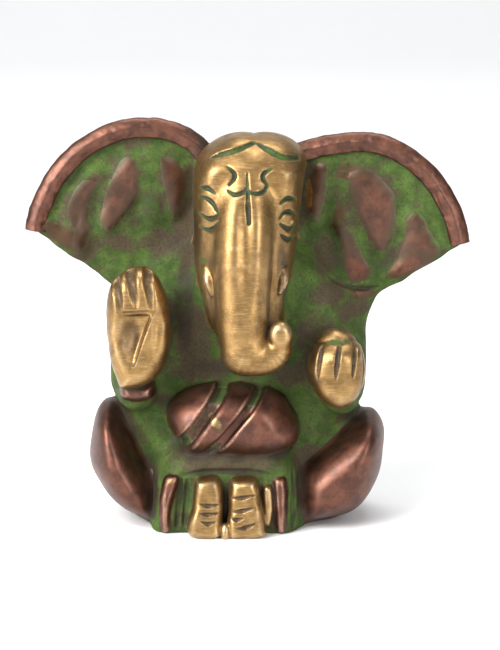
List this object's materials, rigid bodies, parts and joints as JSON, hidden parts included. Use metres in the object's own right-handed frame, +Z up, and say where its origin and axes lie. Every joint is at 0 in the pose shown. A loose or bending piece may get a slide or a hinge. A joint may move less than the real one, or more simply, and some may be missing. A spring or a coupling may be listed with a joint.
{
  "type": "deity figurine",
  "caption": "Small seated elephant-headed deity figurine, cast in brass, with wide fan ears, a curled trunk, a raised palm and painted recesses, standing on a flat base.",
  "frame": {"origin": "middle of the bounding box's bottom, on the plane that the figure stands on", "axes": "+Z up, the figure faces -Y, its right hand is at -X and its left at +X"},
  "size_m": [0.0598, 0.027, 0.0548],
  "materials": {
    "polished_brass": "rubbed brass with fine scratches, casting pits and green left in the chased lines",
    "copper_lacquer": "copper-brown tinted lacquer over brass, rubbed pink and gold on the high places",
    "green_patina": "matt green paint over brass, mottled with dark brown in the hollows"
  },
  "bodies": {
    "root": {"torso": "green_patina", "right_arm": "green_patina", "left_arm": "green_patina", "lap_cloth": "green_patina", "right_thigh": "copper_lacquer", "left_thigh": "copper_lacquer", "right_pleat": "copper_lacquer", "left_pleat": "copper_lacquer", "belly_fold_right": "copper_lacquer", "sash_band": "copper_lacquer", "belly_fold_left": "copper_lacquer", "head": "polished_brass", "trunk": "polished_brass", "right_crown_lobe": "polished_brass", "left_crown_lobe": "polished_brass", "right_tusk": "polished_brass", "left_tusk": "polished_brass", "right_eye": "polished_brass", "left_eye": "polished_brass", "right_ear": "green_patina", "left_ear": "green_patina", "right_ear_rim": "copper_lacquer", "left_ear_rim": "copper_lacquer", "right_ear_fold_inner": "copper_lacquer", "right_ear_fold_middle": "copper_lacquer", "right_ear_fold_outer": "copper_lacquer", "left_ear_fold_inner": "copper_lacquer", "left_ear_fold_middle": "copper_lacquer", "left_ear_fold_outer": "copper_lacquer", "left_ear_fold_lower": "copper_lacquer", "right_hand": "polished_brass", "right_cuff": "copper_lacquer", "left_hand": "polished_brass", "sweet": "polished_brass", "right_foot": "polished_brass", "left_foot": "polished_brass", "left_heel": "polished_brass"}
  },
  "joints": []
}
